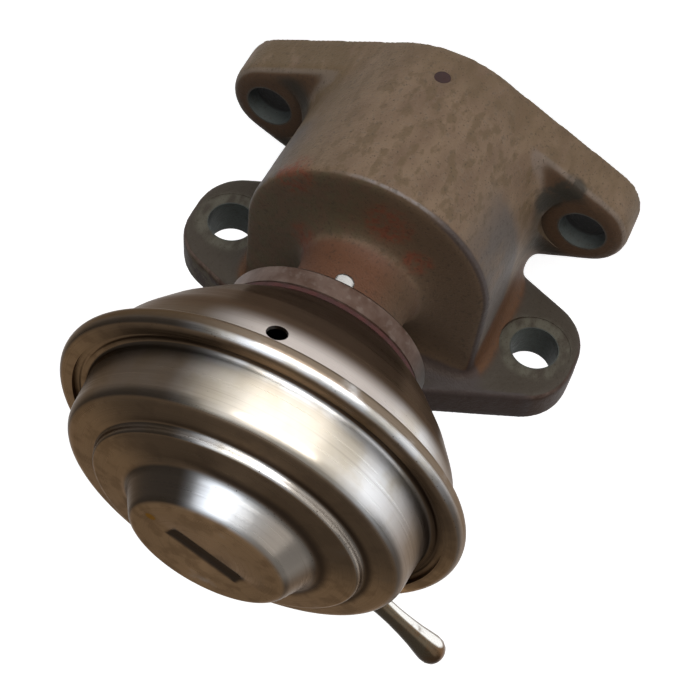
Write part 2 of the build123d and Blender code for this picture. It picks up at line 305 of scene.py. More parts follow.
        # depth in millimetres for a height of 1
        bump = addNode(
            self.tree, "ShaderNodeBump",
            {"Height": height, "Strength": 1.0, "Distance": depth / 1000})
        self.tree.links.new(bump.outputs[0], self.shader.inputs["Normal"])

    def finish(self, roughness, metal=0.0):
        # the coats' colour and a varying roughness go to the shader
        self.tree.links.new(self.colour, self.shader.inputs["Base Color"])
        self.tree.links.new(roughness, self.shader.inputs["Roughness"])
        self.shader.inputs["Metallic"].default_value = metal


def dress(material, *names):
    for name in names:
        mesh = nodes[name].data
        mesh.materials.clear()
        mesh.materials.append(material)


floorSettings = {
    "colour": (0.80, 0.80, 0.80),
    "glow": 0.74,          # added to the white that the camera and reflections see
    "size": 40.0,
    "below": 0.0002,       # just under the base flange
}


def makeFloor():
    s = floorSettings
    material = bpy.data.materials.new("paleFloor")
    material.use_nodes = True
    tree = material.node_tree
    tree.nodes.remove(tree.nodes["Principled BSDF"])
    diffuse = addNode(tree, "ShaderNodeBsdfDiffuse", {"Color": (*s["colour"], 1)})
    strength = calculate(tree, "MULTIPLY", seenRays(tree), s["glow"])
    glow = addNode(tree, "ShaderNodeEmission", {"Strength": strength})
    surface = addNode(tree, "ShaderNodeAddShader", {0: diffuse.outputs[0], 1: glow.outputs[0]})
    tree.links.new(surface.outputs[0], tree.nodes["Material Output"].inputs["Surface"])
    half = s["size"] / 2
    mesh = bpy.data.meshes.new("floor")
    corners = [(-half, -half, 0), (half, -half, 0), (half, half, 0), (-half, half, 0)]
    mesh.from_pydata(corners, [], [(0, 1, 2, 3)])
    mesh.materials.append(material)
    floor = bpy.data.objects.new("floor", mesh)
    floor.location.z = -s["below"]
    bpy.context.scene.collection.objects.link(floor)


makeCamera()
makeWorld()
makeLights()
makeFloor()
print("camera, lights and floor made")


# slopes that several of the casting's coats share; places are in millimetres
upward = ("turnZ", 0.55, 0.90)
onBase = ("z", 12, 10)
onBoss = ("z", 18, 22)
onSideFlange = ("y", 16.0, 16.8)
onNeck = (("radius", 11.6, 10.2), onBoss, ("z", 35.6, 37.5))

castingLook = {
    "pale": (0.146, 0.098, 0.062),
    "brown": (0.106, 0.067, 0.041),
    "shade": (0.075, 0.045, 0.028),
    "sand": (0.200, 0.150, 0.105),
    "ochre": (0.092, 0.061, 0.030),
    "flecks": (0.028, 0.019, 0.012),
    # painted shade on the base flange's upward faces, which the low front light leaves dark
    "lobeTop": (0.058, 0.031, 0.016),
    # painted shade on the boss's upward top under the actuator, and on the neck's right side
    "bossTop": (0.082, 0.051, 0.030),
    "bossOlive": (0.070, 0.056, 0.030),
    "holeWall": (0.050, 0.056, 0.053),
    # painted shade deep in the bolt holes
    "holeDeepShade": (0.010, 0.008, 0.007),
    "sideHole": (0.045, 0.050, 0.045),
    "seatWear": (0.110, 0.104, 0.078),
    # painted highlight, pinkish, along the side flange's rounded edge
    "pinkEdge": (0.110, 0.075, 0.062),
    "red": (0.130, 0.036, 0.018),
    "neck": (0.100, 0.043, 0.022),
    # painted sheen: a darker, cooler lavender tone on the boss's sideways faces
    "flank": (0.074, 0.059, 0.050),
    # painted shade along the right part of the boss's rounded top edge
    "darkEdge": (0.034, 0.024, 0.022),
    "machined": (0.105, 0.092, 0.080),
    "portSoot": (0.018, 0.015, 0.013),
    "olive": (0.040, 0.031, 0.022),
    # painted shade on the side flange's edges
    "sideRim": (0.027, 0.012, 0.006),
    # painted highlight colour, a light lavender line for the rounded edges below
    "worn": (0.190, 0.172, 0.168),
    "cornerStain": (0.070, 0.027, 0.008),
    # painted shade colour for the hollows round the bolt heads' room and the lobe's corner
    "corner": (0.022, 0.019, 0.014),
    "roughness": (0.50, 0.70),
    "shine": 0.25,
    "grainDepth": 0.09,
    # size in millimetres, detail, seed and stretch of the mottling's clouds
    "clouds": {
        "wide": (5.0, 6.0, 0.0, (1.5, 1.5, 0.6)),
        "medium": (2.2, 5.0, 3.0, (1.3, 1.3, 0.7)),
        "small": (0.9, 4.0, 2.0),
        "grain": (0.35, 3.0, 5.0),
    },
    "paleBreaks": ("wide", 0.30, 0.66),
    # every coat below: its colour, how much of it, and its slopes
    "mottling": (
        ("shade", 0.50, ("medium", 0.52, 0.64)),
        ("sand", 0.30, ("small", 0.54, 0.64)),
    ),
    "ochreBreaks": ("medium", 0.25, 0.55),
    "ochreParts": ((0.85, ("x", 2, 22)), (0.51, ("z", 12, 4)), (0.60, ("medium", 0.50, 0.62))),
    "faces": (
        # painted lavender sheen on the boss's sideways faces
        ("flank", 1.0, ("leanX", 0.60, 0.88), onBoss, ("wide", 0.20, 0.55)),
        # painted shade on the base flange's upward faces
        ("lobeTop", 1.0, upward, onBase),
        # painted shade on the boss's upward faces
        ("bossTop", 1.0, upward, onBoss),
        ("cornerStain", 0.9, ("leanX", 0.20, 0.40), ("y", 8.5, 12.0), ("y", 19.5, 17.5), ("z", 9.5, 12.0)),
        # painted shade over the side flange, whose front face then takes the olive colour
        ("sideRim", 1.0, onSideFlange),
        ("olive", 1.0, onSideFlange, ("leanY", 0.75, 0.92)),
        # painted pinkish highlight along the side flange's rounded edge
        ("pinkEdge", 0.7, onSideFlange, ("turnY", -0.25, -0.45), ("turnY", -0.90, -0.75),
         ("z", 24, 30), ("medium", 0.3, 0.6)),
        ("bossOlive", 0.6, upward, onBoss, ("medium", 0.42, 0.58), ("x", -10.0, 6.0)),
        ("neck", 1.0, *onNeck),
        # painted shade on the neck's right side
        ("bossTop", 0.85, *onNeck, ("x", -3.0, -9.0)),
    ),
    # red patches on the boss's top: x, y, reach
    "redPatches": ((-3.0, -16.0, 6.5), (14.0, -18.0, 6.0), (10.5, -5.0, 4.5), (-9.0, -10.0, 4.0)),
    "redShare": 0.8,
    "redEdge": (0.0, 0.5),
    "redBreaks": (("medium", 0.25, 0.70), ("small", 0.30, 0.60)),
    "edges": (
        # painted highlight along the front part of the boss's top edge
        ("worn", 0.75, ("turnZ", 0.20, 0.45), ("turnZ", 0.85, 0.60), ("z", 33.0, 34.0), ("radius", 17, 18),
         ("y", 15, 12), ("small", 0.20, 0.60), ("x", 9.0, -1.0)),
        # painted shade along the right part of the boss's rounded top edge
        ("darkEdge", 0.85, ("turnZ", 0.10, 0.30), ("turnZ", 0.98, 0.88), ("z", 32.6, 33.6),
         ("radius", 17, 18), ("x", -6.0, -14.0)),
        # painted highlight along the base flange's rounded top edge
        ("worn", 0.22, ("turnZ", 0.25, 0.45), ("turnZ", 0.85, 0.65), ("z", 7.0, 8.0), ("z", 11.0, 9.5)),
    ),
    # painted shade behind the bolt heads: its ring's radius, and how far from it the shade ends and is full
    "shadeRing": (9.0, 3.2, 0.3),
    "shadeShare": 0.85,
    "shadeLimits": (("z", 15, 10), ("z", 8.4, 9.0), ("asideX", 31.0, 27.0)),
    # the bolt holes' walls: distances from a hole's middle, and heights, with painted shade on the lower wall
    "holeEdge": (4.7, 4.4),
    "holeTop": ("z", 9.0, 8.8),
    "holeShadeDepth": ("z", 5.9, 5.2),
    "sideHoleEdge": (4.6, 4.3),
    "wornRing": (7.4, 5.6),
    "wornShare": 0.6,
    "wornBreaks": ("medium", 0.30, 0.60),
    # the two mating faces: a gasket's mark round each port, and soot inside it
    "bottomFace": ("z", 0.3, 0.1),
    "sideFace": ("y", 24.7, 24.9),
    "faceBreaks": ("medium", 0.2, 0.8),
    "markInside": (15.5, 16.5),
    "markOutside": (19.5, 18.0),
    "markShare": 0.6,
    "sootEdge": (17.5, 14.0),
    "sootRagged": 4.0,
    "sootShare": 0.85,
    # painted shade in the left lobe's corner: x, y, z, reach
    "cornerShades": ((-22.5, -6.0, 9.5, 4.5), (-18.8, -7.5, 10.0, 3.5), (-26.0, -9.0, 9.0, 4.0)),
    "cornerShadeShare": 0.8,
    "cornerShadeEdge": (0.05, 0.45),
    "cornerShadeBreaks": ("medium", 0.25, 0.60),
    "fleckShare": 0.62,
    "fleckParts": ((1.0, ("grain", 0.58, 0.70)), (0.7, ("small", 0.56, 0.72))),
}


def rustOnBoss(paint):
    s = castingLook
    edgeBreaks, grainBreaks = s["redBreaks"]
    for x, y, reach in s["redPatches"]:
        spot = (x, y, castingShape["bossTop"])
        patch = both(paint.tree, paint.nearSpot(spot, reach), paint.where(edgeBreaks))
        patch = between(paint.tree, patch, *s["redEdge"])
        paint.coat(s["red"], patch, paint.where(grainBreaks), s["redShare"])


# painted shade in the hollow round each bolt head's room
def shadeBehindBolts(paint, x):
    s = castingLook
    radius, ends, full = s["shadeRing"]
    out = calculate(paint.tree, "SUBTRACT", paint.awayFrom((x, 0, 0), (1, 1, 0)), radius)
    ring = between(paint.tree, calculate(paint.tree, "ABSOLUTE", out), ends, full)
    paint.coat(s["corner"], ring, paint.where(*s["shadeLimits"]), s["shadeShare"])


def boltHoleWalls(paint, x):
    s = castingLook
    hole = between(paint.tree, paint.awayFrom((x, 0, 0), (1, 1, 0)), *s["holeEdge"])
    paint.coat(s["holeWall"], hole, paint.where(s["holeTop"]))
    # painted shade on the lower part of each bolt hole's wall
    paint.coat(s["holeDeepShade"], hole, paint.where(s["holeTop"], s["holeShadeDepth"]))
    away = paint.awayFrom((x, 0, castingShape["sideMiddle"]), (1, 0, 1))
    worn = both(paint.tree, between(paint.tree, away, *s["wornRing"]), s["wornShare"])
    paint.coat(s["seatWear"], worn, paint.where(onSideFlange, s["wornBreaks"]))
    paint.coat(s["sideHole"], between(paint.tree, away, *s["sideHoleEdge"]), paint.where(onSideFlange))


def matingFace(paint, face, middle, across):
    # a machined face round a port, with the ring that a gasket left and the soot inside it
    s = castingLook
    tree = paint.tree
    out = paint.awayFrom((0, 0, middle), across)
    paint.coat(s["machined"], paint.where(face, s["faceBreaks"]))
    mark = both(tree, between(tree, out, *s["markInside"]), between(tree, out, *s["markOutside"]))
    paint.coat(s["seatWear"], paint.where(face), mark, s["markShare"])
    ragged = calculate(tree, "ADD", out, calculate(tree, "MULTIPLY", paint.by["wide"], s["sootRagged"]))
    soot = between(tree, ragged, *s["sootEdge"])
    paint.coat(s["portSoot"], paint.where(face), soot, s["sootShare"])


# painted shade in the corner between the left lobe and the body
def shadeInCorner(paint):
    s = castingLook
    for x, y, z, reach in s["cornerShades"]:
        shading = both(paint.tree, paint.nearSpot((x, y, z), reach), paint.where(s["cornerShadeBreaks"]))
        paint.coat(s["corner"], between(paint.tree, shading, *s["cornerShadeEdge"]), s["cornerShadeShare"])


def castIron():
    s = castingLook
    paint = Paint("castIron")
    for name, values in s["clouds"].items():
        paint.by[name] = paint.cloud(*values)
    paint.startWith(s["brown"], s["pale"], s["paleBreaks"])
    paint.coats(s, s["mottling"])
    paint.coat(s["ochre"], paint.strongest(s["ochreParts"]), paint.where(s["ochreBreaks"]))
    paint.coats(s, s["faces"])
    rustOnBoss(paint)
    paint.coats(s, s["edges"])
    boltPlaces = (-castingShape["boltReach"], castingShape["boltReach"])
    for x in boltPlaces:
        shadeBehindBolts(paint, x)
    for x in boltPlaces:
        boltHoleWalls(paint, x)
    matingFace(paint, s["bottomFace"], 0, (1, 1, 0))
    matingFace(paint, s["sideFace"], castingShape["sideMiddle"], (1, 0, 1))
    shadeInCorner(paint)
    paint.coat(s["flecks"], paint.strongest(s["fleckParts"]), s["fleckShare"])
    paint.finish(mixNumber(paint.tree, paint.by["small"], *s["roughness"]))
    paint.shader.inputs["Specular IOR Level"].default_value = s["shine"]
    paint.addBump(calculate(paint.tree, "ADD", paint.by["grain"], paint.by["small"]), s["grainDepth"])
    return paint.material


castingShape = {
    "grain": 0.45,               # size of the mesh's faces, in millimetres like every size here
    "blendRounds": 170,          # more rounds fill the inside corners further
    "blendStep": 0.6,
    "leastRise": 0.002,          # hollows shallower than this stay
    "refreshEvery": 10,
    "wave": (7.0, 0.16),         # size across and depth of the sand mould's waves
    "pits": (1.3, 0.04),
    "pitSeed": (7, 3, 5),
    "faceMargin": 0.3,           # how far the roughness stays from the mating faces
    "polish": 7,
    "polishStep": 0.5,
    "boltReach": 30.0,
    "boltHole": 4.25,
    "headRoom": 7.4,             # radius cleared for the bolt heads over the base
    "headTop": 40.0,             # and the height up to which it is cleared
    "baseTop": 8.9,
    "sideMiddle": 23.4,          # height of the side flange's middle
    "sideFace": 25.0,
    "sideBack": 17.0,
    "sideSeat": (6.5, 0.2),      # radius and depth of the spot faces
    "seatRoom": 3.0,             # room cleared in front of them
    "plugExtra": 0.5,            # how much wider than its hole a filling plug is
    "overrun": 1.0,              # how far a cutter starts outside what it cuts
    "plugHole": 1.4,
    "plugPlace": (0.0, -21.66, 7.0),
    "plugDepth": 3.5,
    "chamber": 17.0,             # everything nearer the axis than this, below the boss's top, is inside
    "bossTop": 35.0,
    "bossSkin": 0.5,             # how far under the boss's top the chamber ends
    "stemWay": 9.5,
    "neckTop": 48.5,
    "sidePort": 9.2,
    # upright rods that fill the flanks out to their own outline
    "flankReach": 22.0,
    "fillRadius": 2.0,
    "fillFrom": -5.0,
    "fillSpacing": 0.7,
    "fillSteps": 15,
    "fillSides": 24,
    "fillBevel": (1.0, 0.3),
}


sharpAngle = 38      # degrees; edges that turn more than this stay crisp on every piece


def lathe(name, outline, origin, axis, steps=72):
    # a closed solid turned from (radius, height) points in millimetres, standing on origin along axis
    bm = bmesh.new()
    turn = Vector((0, 0, 1)).rotation_difference(Vector(axis)).to_matrix()
    start = Vector(origin)
    rings = []
    for radius, height in outline:
        ring = []
        for step in range(steps):
            angle = 2 * math.pi * step / steps
            corner = Vector((radius * math.cos(angle), radius * math.sin(angle), height))
            ring.append(bm.verts.new((start + turn @ corner) / 1000))
        rings.append(ring)
    for lower, upper in zip(rings, rings[1:]):
        for step in range(steps):
            after = (step + 1) % steps
            bm.faces.new((lower[step], lower[after], upper[after], upper[step]))
    bm.faces.new(list(reversed(rings[0])))
    bm.faces.new(rings[-1])
    bmesh.ops.recalc_face_normals(bm, faces=bm.faces)
    mesh = bpy.data.meshes.new(name)
    bm.to_mesh(mesh)
    bm.free()
    return mesh


def joined(name, meshes):
    bm = bmesh.new()
    for mesh in meshes:
        bm.from_mesh(mesh)
    whole = bpy.data.meshes.new(name)
    bm.to_mesh(whole)
    bm.free()
    return whole


def newPiece(name, mesh):
    piece = bpy.data.objects.new(name, mesh)
    bpy.context.scene.collection.objects.link(piece)
    return piece


def finishPiece(piece, material):
    piece.data.polygons.foreach_set("use_smooth", [True] * len(piece.data.polygons))
    piece.data.set_sharp_from_angle(angle=math.radians(sharpAngle))
    piece.data.materials.append(material)


def standFor(piece, node):
    # the piece shows in place of the solid, and stays with the housing
    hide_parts(node)
    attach(piece, "housing")


def applied(piece, kind, **settings):
    # the piece with one modifier worked into its mesh
    modifier = piece.modifiers.new("work", kind)
    for name, value in settings.items():
        setattr(modifier, name, value)
    ready = piece.evaluated_get(bpy.context.evaluated_depsgraph_get())
    mesh = bpy.data.meshes.new_from_object(ready)
    piece.modifiers.clear()
    piece.data = mesh
    return piece


def atBolts(baseOutline, sideOutline):
    # the two lathed shapes at each of the casting's bolt holes, as (radius, height) outlines
    s = castingShape
    made = []
    for x in (-s["boltReach"], s["boltReach"]):
        made.append(lathe("baseBolt", baseOutline, (x, 0, 0), (0, 0, 1)))
        made.append(lathe("sideBolt", sideOutline, (x, s["sideBack"], s["sideMiddle"]), (0, 1, 0)))
    return made


def boltPlugs():
    s = castingShape
    hole = s["boltHole"] + s["plugExtra"]
    seat = s["sideSeat"][0] + s["plugExtra"]
    thickness = s["sideFace"] - s["sideBack"]
    return atBolts([(hole, 0), (hole, s["baseTop"])], [(seat, 0), (seat, thickness)])


def boltCutters():
    s = castingShape
    hole, room = s["boltHole"], s["headRoom"]
    seat, depth = s["sideSeat"]
    behind = s["sideFace"] - s["sideBack"] + s["overrun"]
    return atBolts(
        [(hole, -s["overrun"]), (hole, s["baseTop"]), (room, s["baseTop"]), (room, s["headTop"])],
        [(seat, -s["seatRoom"]), (seat, depth), (hole, depth), (hole, behind)])


def flankFill():
    # closes the shallow hollows that the bolt heads' room leaves in the solid's flanks
    s = castingShape
    reach, radius, top = s["flankReach"], s["fillRadius"], s["bossTop"]
    bevel, shoulder = s["fillBevel"]
    outline = [
        (radius, s["baseTop"]), (radius, top - bevel), (radius - shoulder, top - shoulder),
        (radius - bevel, top)]
    pieces = []
    for side in (-1, 1):
        for step in range(s["fillSteps"]):
            y = s["fillFrom"] + step * s["fillSpacing"]
            x = math.sqrt((reach - radius) ** 2 - min(y, 0) ** 2)
            pieces.append(lathe("flankFill", outline, (side * x, y, 0), (0, 0, 1), s["fillSides"]))
    return pieces


def isOutside(place):
    # which points are on the casting's outside, not in its gas and stem passages
    s = castingShape
    fromAxis = np.hypot(place[:, 0], place[:, 1])
    fromPort = np.hypot(place[:, 0], place[:, 2] - s["sideMiddle"])
    chamber = (fromAxis < s["chamber"]) & (place[:, 2] < s["bossTop"] - s["bossSkin"])
    port = (fromPort < s["sidePort"]) & (place[:, 1] > 0)
    return ~(chamber | port | (fromAxis < s["stemWay"]))


def readMesh(mesh):
    place = np.empty(len(mesh.vertices) * 3)
    mesh.vertices.foreach_get("co", place)
    facing = np.empty(len(mesh.vertices) * 3)
    mesh.vertex_normals.foreach_get("vector", facing)
    return place.reshape(-1, 3) * 1000, facing.reshape(-1, 3)


def writeMesh(mesh, place):
    mesh.vertices.foreach_set("co", (place / 1000).ravel())
    mesh.update()


def aroundMean(place, edges, counts):
    total = np.empty_like(place)
    for axis in range(3):
        total[:, axis] = (
            np.bincount(edges[:, 0], place[edges[:, 1], axis], len(place))
            + np.bincount(edges[:, 1], place[edges[:, 0], axis], len(place)))
    return total / counts[:, None]


def fillCorners(mesh):
    # inside corners grow soft blends; outside corners stay as they are
    s = castingShape
    edges = np.empty(len(mesh.edges) * 2, dtype=np.int32)
    mesh.edges.foreach_get("vertices", edges)
    edges = edges.reshape(-1, 2)
    counts = np.bincount(edges.ravel(), minlength=len(mesh.vertices)).astype(float)
    place, facing = readMesh(mesh)
    outside = isOutside(place)
    for done in range(s["blendRounds"]):
        if done % s["refreshEvery"] == 0:
            writeMesh(mesh, place)
            place, facing = readMesh(mesh)
        pull = aroundMean(place, edges, counts) - place
        rise = np.einsum("ij,ij->i", pull, facing)
        moving = outside & (rise > s["leastRise"])
        place[moving] += s["blendStep"] * pull[moving]
    for again in range(s["polish"]):
        place += s["polishStep"] * (aroundMean(place, edges, counts) - place)
    writeMesh(mesh, place)


def roughenSand(mesh):
    # shallow waves and pits of a sand casting, always inwards, and none on the machined faces
    s = castingShape
    place, facing = readMesh(mesh)
    rough = isOutside(place)
    rough &= place[:, 2] > s["faceMargin"]
    rough &= place[:, 1] < s["sideFace"] - s["faceMargin"]
    rough &= place[:, 2] < s["neckTop"]
    waveSize, waveDepth = s["wave"]
    pitSize, pitDepth = s["pits"]
    for number in np.flatnonzero(rough):
        spot = Vector(place[number])
        wave = 0.5 + 0.5 * noise.noise(spot / waveSize)
        pit = 0.5 + 0.5 * noise.noise(spot / pitSize + Vector(s["pitSeed"]))
        place[number] -= facing[number] * (waveDepth * wave + pitDepth * pit)
    place[:, 1] = np.minimum(place[:, 1], s["sideFace"])
    place[:, 2] = np.maximum(place[:, 2], 0)
    writeMesh(mesh, place)


def makeCasting():
    s = castingShape
    solids = [nodes["valve_body"].data, *boltPlugs(), *flankFill()]
    blank = newPiece("blank", joined("blank", solids))
    blank = applied(blank, "REMESH", mode="VOXEL", voxel_size=s["grain"] / 1000)
    fillCorners(blank.data)
    roughenSand(blank.data)
    hole = s["plugHole"]
    plugCutter = lathe("plugHole", [(hole, -s["overrun"]), (hole, s["plugDepth"])], s["plugPlace"], (0, 1, 0))
    cutter = newPiece("cutter", joined("cutter", [*boltCutters(), plugCutter]))
    casting = applied(blank, "BOOLEAN", operation="DIFFERENCE", object=cutter, solver="EXACT")
    bpy.data.objects.remove(cutter)
    casting.name = "castBody"
    casting.data.materials.clear()
    finishPiece(casting, castIron())
    standFor(casting, "valve_body")


makeCasting()
print("casting made")


# slopes that several of the pressed steel's coats share
level = ("turnZ", 0.75, 0.97)
overDome = ("z", 84.4, 84.7)
underDome = ("z", 84.7, 84.4)
overTier = ("z", 86.4, 86.7)
underTier = ("z", 86.7, 86.4)
# painted shade: the bearings round the axis where the shells are darkest
brownSide = ("bearing", 330, 60, 36)
# painted shade: the bearings of the shelves towards the front
shelfShadeSide = ("bearing", 252, 88, 50)

pressedLook = {
    "clean": (0.84, 0.85, 0.87),
    # painted highlight on the cap's wall towards the front
    "bare": (0.90, 0.93, 0.97),
    "dull": (0.64, 0.60, 0.53),
    # painted highlight: a cream tint on the dome's wall towards the front
    "domeHighlightTint": (0.53, 0.47, 0.38),
    # painted reflection: the bowl's front, duller than the bare steel
    "dullBowl": (0.50, 0.45, 0.42),
    # a brown film with painted shade on the level faces, which the low front light leaves dark, and darker
    # patches of it
    "flatFilm": (0.460, 0.290, 0.160),
    "flatDark": (0.230, 0.135, 0.070),
    # painted shade on the front shelves, and the colour of the turning streaks
    "shelfShadeAndStreaks": (0.110, 0.080, 0.056),
    # painted shade by bearing on the shells' sides away from the front light: brown, grey, and a lighter grey
    # on the cap
    "brownSide": (0.062, 0.042, 0.026),
    "greySide": (0.175, 0.130, 0.095),
    "capSide": (0.440, 0.390, 0.340),
    "rimFilm": (0.180, 0.140, 0.105),
    # soot colour for real specks and pits, and for painted shade in the bends and on the lower bowl
    "soot": (0.062, 0.042, 0.030),
    "yellowPaint": (0.42, 0.20, 0.03),
    # painted shade in the cap's slot
    "slotShade": (0.075, 0.054, 0.040),
    "roughness": (0.27, 0.38),
    "edgeTint": (0.57, 0.52, 0.48),
    "anisotropy": 0.75,
    "brushTurn": 0.25,
    "markDepth": 0.0045,
    # size in millimetres, detail and seed of the tarnish's clouds
    "clouds": {"wide": (6.0, 5.0, 1.0), "patches": (2.6, 6.0, 6.0)},
    # width in millimetres, length in radians and seed of the turning marks
    "turned": {"marks": (0.22, 0.9, 0.0), "lines": (0.45, 2.5, 3.0)},
    "dullBreaks": ("wide", 0.44, 0.66),
    # every coat below: its colour, how much of it, and its slopes
    # painted highlight on the cap's wall towards the front
    "capHighlightCoat": (("bare", 1.0, overTier, ("bearing", 266, 40, 18)),),
    "domeHighlightLimits": (("bearing", 260, 36, 16), underDome, ("z", 76.0, 77.5)),
    "domeHighlightShares": (0.7, 1.0),
    "sides": (
        # painted reflection tone on the bowl's front
        ("dullBowl", 1.0, ("bearing", 258, 40, 14), ("z", 73.0, 72.4)),
        ("rimFilm", 1.0, ("radius", 32.3, 32.8), ("z", 75.1, 74.6), ("wide", 0.10, 0.45)),
        # painted shade on the shells' sides, by bearing
        ("greySide", 0.92, underDome, ("bearing", 172, 56, 22)),
        ("capSide", 1.0, overDome, ("bearing", 200, 60, 24)),
        ("greySide", 1.0, overDome, ("bearing", 168, 32, 12)),
        ("brownSide", 0.97, brownSide),
        # brown film and painted shade on the level faces
        ("flatFilm", 1.0, level, ("wide", 0.0, 0.40)),
        ("flatDark", 0.45, level, ("patches", 0.46, 0.62)),
    ),
    "shelfShadeShare": 0.80,
    "shelfShadeParts": ((1.0, underTier, overDome), (1.0, ("radius", 12.9, 14.5))),
    # rings of painted shade in the bends: radius, height, reach
    "shadedBends": ((29.9, 75.0, 1.8), (31.6, 75.6, 0.6), (23.0, 84.6, 1.2), (16.6, 86.85, 1.7)),
    "bendShadeShares": (0.92, 0.88),             # how much of it there is, and how much less on the brown side
    # painted shade on the lower bowl near the collar
    "bowlShade": (("soot", 1.0, ("z", 70.6, 66.8)),),
    "slotReach": (7.1, 2.1, 0.8),           # half length and half width with the painted shade, and its soft edge
    "slotTop": ("z", 86.4, 87.4),
    "yellowDot": (8.9, -5.0, 91.85),
    "dotReach": 1.2,
    "dotBreaks": ("patches", 0.2, 0.5),
    "dotEdge": (0.1, 0.4),
    # specks: size in millimetres, seed, where each ends and is full, and how much of it
    "specks": (0.9, 4.0, 0.12, 0.04, 0.6),
    "pits": (0.5, 9.0, 0.30, 0.16, 0.8),
    "streakShare": 0.15,
    "streakParts": ((1.0, ("marks", 0.56, 0.70)), (1.0, ("lines", 0.58, 0.72))),
    # rings of fine pits along the bends: radius, height, reach
    "pittedBends": ((22.3, 85.9, 0.9), (33.4, 75.6, 0.8), (15.7, 87.4, 0.9)),
    "roughMarks": ("marks", 0.3, 0.7),
    "flangeRidge": (30.2, 0.45, 0.10),      # radius, half width, height
    "ridgeUnder": ("z", 77, 76),
}


def speckShare(paint, size, seed, ends, full, share):
    return both(paint.tree, between(paint.tree, paint.specks(size, seed), ends, full), share)


def coatRings(paint, colour, rings, share):
    for radius, height, reach in rings:
        paint.coat(colour, paint.nearRing(radius, height, reach), share)


# painted shade in the cap's slot
def shadeInSlot(paint):
    s = pressedLook
    halfLength, halfWidth, soft = s["slotReach"]
    bearing = domeShape["slotBearing"]
    along = between(paint.tree, paint.alongBearing(bearing), halfLength, halfLength - soft)
    across = between(paint.tree, paint.alongBearing(bearing + 90), halfWidth, halfWidth - soft)
    paint.coat(s["slotShade"], along, across, paint.where(s["slotTop"]))


def yellowDot(paint):
    s = pressedLook
    dot = both(paint.tree, paint.nearSpot(s["yellowDot"], s["dotReach"]), paint.where(s["dotBreaks"]))
    paint.coat(s["yellowPaint"], between(paint.tree, dot, *s["dotEdge"]))


def brushAround(paint):
    # fine turning marks round the axis, which stretch the shine across them, and the flange's low ridge
    s = pressedLook
    tree = paint.tree
    around = addNode(tree, "ShaderNodeTangent", direction_type="RADIAL", axis="Z")
    tree.links.new(around.outputs[0], paint.shader.inputs["Tangent"])
    paint.shader.inputs["Specular Tint"].default_value = (*s["edgeTint"], 1)
    paint.shader.inputs["Anisotropic"].default_value = s["anisotropy"]
    paint.shader.inputs["Anisotropic Rotation"].default_value = s["brushTurn"]
    radius, halfWidth, height = s["flangeRidge"]
    out = calculate(tree, "ABSOLUTE", calculate(tree, "SUBTRACT", paint.by["radius"], radius))
    ridge = both(tree, between(tree, out, halfWidth, 0), paint.where(level, s["ridgeUnder"]))
    ridge = both(tree, ridge, height / s["markDepth"])
    paint.addBump(calculate(tree, "ADD", paint.by["marks"], ridge), s["markDepth"])


def pressedSteel():
    s = pressedLook
    paint = Paint("pressedSteel")
    tree = paint.tree
    for name, values in s["clouds"].items():
        paint.by[name] = paint.cloud(*values)
    for name, values in s["turned"].items():
        paint.by[name] = paint.turnedMarks(*values)
    paint.startWith(s["clean"], s["dull"], s["dullBreaks"])
    paint.coats(s, s["capHighlightCoat"])
    # the painted highlight's cream tint on the dome's wall towards the front
    domeHighlightShare = mixNumber(tree, paint.by["patches"], *s["domeHighlightShares"])
    paint.coat(s["domeHighlightTint"], paint.where(*s["domeHighlightLimits"]), domeHighlightShare)
    paint.coats(s, s["sides"])
    # painted shade on the level shelves towards the front
    shelfShade = both(tree, paint.where(level, shelfShadeSide), paint.strongest(s["shelfShadeParts"]))
    paint.coat(s["shelfShadeAndStreaks"], shelfShade, s["shelfShadeShare"])
    # painted shade in the bends, less of it on the brown shaded side
    usual, less = s["bendShadeShares"]
    shadeShare = calculate(tree, "SUBTRACT", usual, both(tree, paint.where(brownSide), less))
    coatRings(paint, s["soot"], s["shadedBends"], shadeShare)
    paint.coats(s, s["bowlShade"])
    shadeInSlot(paint)
    yellowDot(paint)
    paint.coat(s["soot"], speckShare(paint, *s["specks"]))
    paint.coat(s["shelfShadeAndStreaks"], paint.strongest(s["streakParts"]), s["streakShare"])
    coatRings(paint, s["soot"], s["pittedBends"], speckShare(paint, *s["pits"]))
    paint.finish(mixNumber(tree, paint.where(s["roughMarks"]), *s["roughness"]), 1.0)
    brushAround(paint)
    return paint.material


domeShape = {
    # the outside from flange to cap: radius, height, and how far from the corner its bend starts
    "corners": (
        (32.4, 75.2, 0), (28.9, 75.2, 0.9), (28.15, 84.1, 2.1), (22.3, 84.7, 0.8), (22.3, 86.25, 0.85),
        (15.9, 86.85, 1.5), (12.8, 91.85, 1.3), (0.5, 91.85, 0)),
    "sheet": 0.8,
    "insideBend": 0.7,           # share of the outside's bend
    "bendSteps": 10,
    "turnSteps": 288,
    "slotHalfLength": 5.15,      # to the middle of each round end
    # the slot cutter's half width at each height over the cap
    "slotSides": ((0.80, -0.32), (1.20, -0.24), (1.75, 0.0), (2.0, 0.15)),
    "cutterSides": 48,
    "slotBearing": 150,
    "nippleHole": (139.2, 78.2, 2.0),       # bearing, height, radius
    "holeReach": (20, 40),                  # the hole's cutter, from the axis
}


def insideCorners(corners, sheet):
    # the same line moved inwards by the sheet's thickness, each corner on the two moved sides
    made = []
    places = [Vector(corner[:2]) for corner in corners]
    sides = [(after - before).normalized() for before, after in zip(places, places[1:])]
    for number, place in enumerate(places):
        before = sides[max(number - 1, 0)]
        after = sides[min(number, len(sides) - 1)]
        before = Vector((-before.y, before.x))
        after = Vector((-after.y, after.x))
        move = (before + after) * sheet / (1 + before.dot(after))
        made.append((*(place + move), corners[number][2] * domeShape["insideBend"]))
    return made


